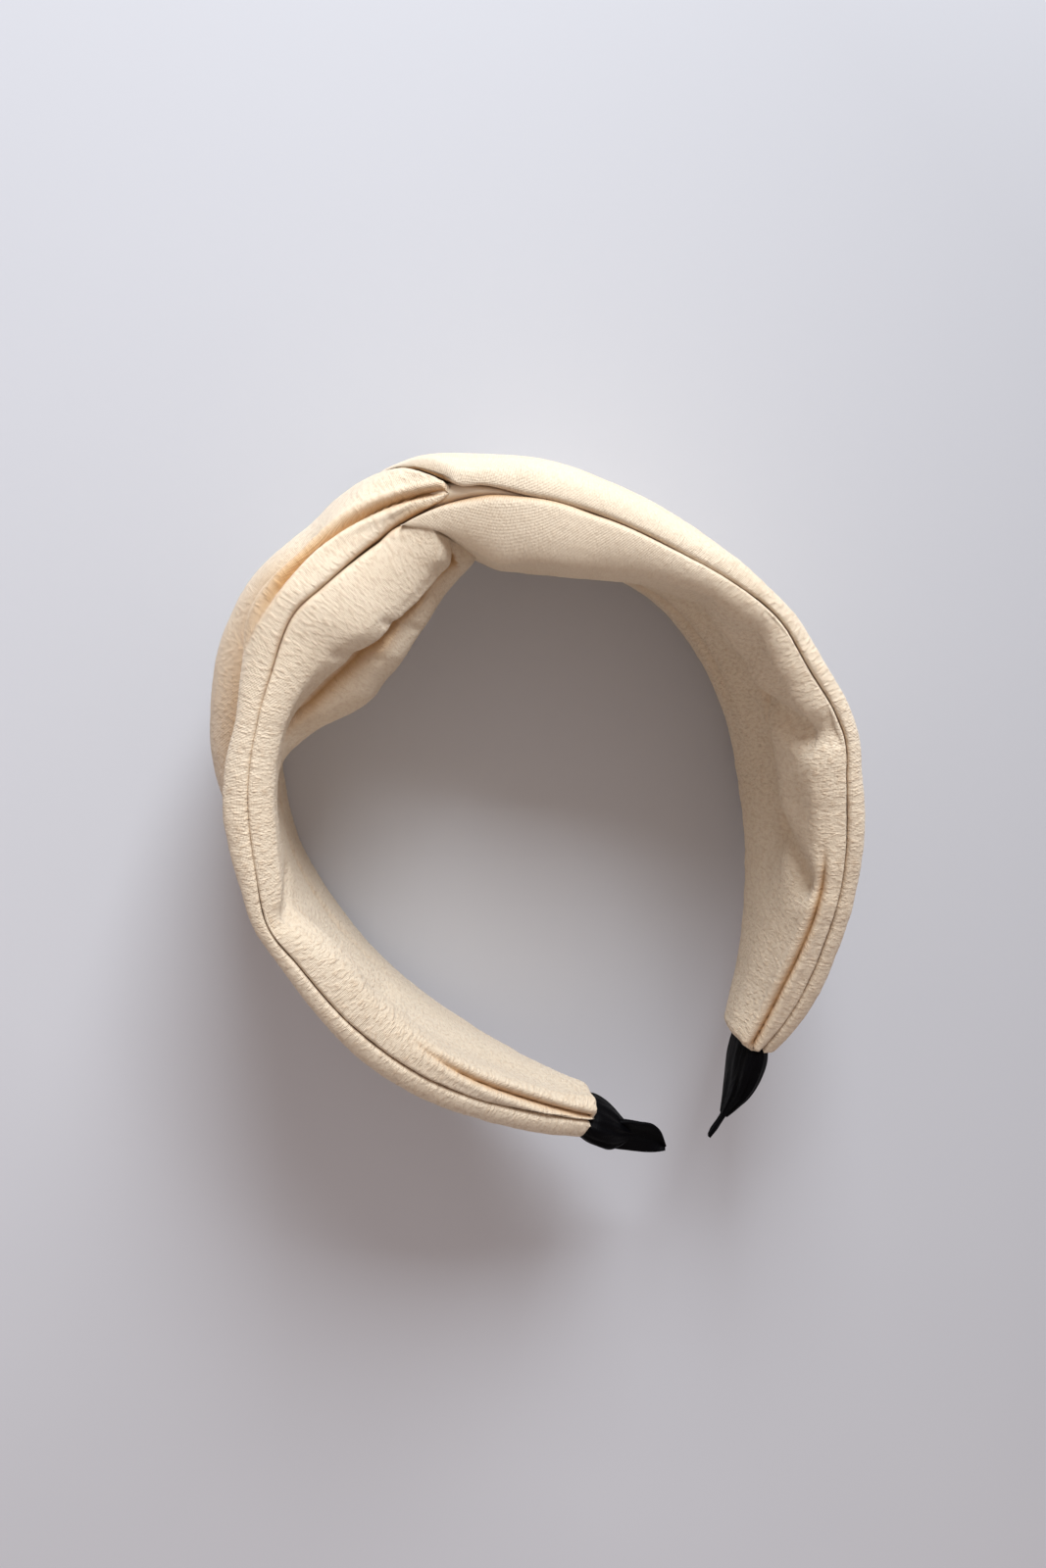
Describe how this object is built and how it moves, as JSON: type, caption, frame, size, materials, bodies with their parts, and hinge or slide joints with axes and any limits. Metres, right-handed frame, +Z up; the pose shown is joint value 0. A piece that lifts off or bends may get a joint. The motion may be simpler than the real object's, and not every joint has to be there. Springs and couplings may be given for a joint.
{
  "type": "knotted headband",
  "caption": "Stiff C-shaped headband covered in crepe tubes that hook through each other in a knot at the crown, with satin-wrapped ends.",
  "frame": {"origin": "middle of the underside, lying on its edge on a table", "axes": "+Z up off the table and across the band's width, +Y from the open gap towards the knot, +X towards the right arm seen from above"},
  "size_m": [0.1257, 0.1616, 0.062],
  "materials": {
    "hoop_plastic": "natural matte polypropylene",
    "cream_crepe": "crinkled crepe with a soft sheen",
    "black_satin": "black satin ribbon"
  },
  "bodies": {
    "crown": {"hoop_crown": "hoop_plastic", "knot_bight_left": "cream_crepe", "knot_bight_right": "cream_crepe", "outer_leg_crown_left": "cream_crepe", "outer_leg_crown_right": "cream_crepe", "inner_leg_crown_left": "cream_crepe", "inner_leg_crown_right": "cream_crepe"},
    "arm_left": {"hoop_arm_left": "hoop_plastic", "outer_leg_arm_left": "cream_crepe", "inner_leg_arm_left": "cream_crepe", "end_wrap_left": "black_satin", "end_tail_left": "black_satin"},
    "arm_right": {"hoop_arm_right": "hoop_plastic", "outer_leg_arm_right": "cream_crepe", "inner_leg_arm_right": "cream_crepe", "end_wrap_right": "black_satin", "end_tail_right": "black_satin"}
  },
  "joints": [
    {"name": "arm_spread_left", "type": "hinge", "parent": "crown", "child": "arm_left", "pos_m": [-0.04377, 0.04825, 0.031], "axis": [0, 0, -1], "range_deg": [-2, 22], "stiffness_Nm_per_rad": 0.5},
    {"name": "arm_spread_right", "type": "hinge", "parent": "crown", "child": "arm_right", "pos_m": [0.04377, 0.04825, 0.031], "axis": [0, 0, 1], "range_deg": [-2, 22], "stiffness_Nm_per_rad": 0.5}
  ]
}
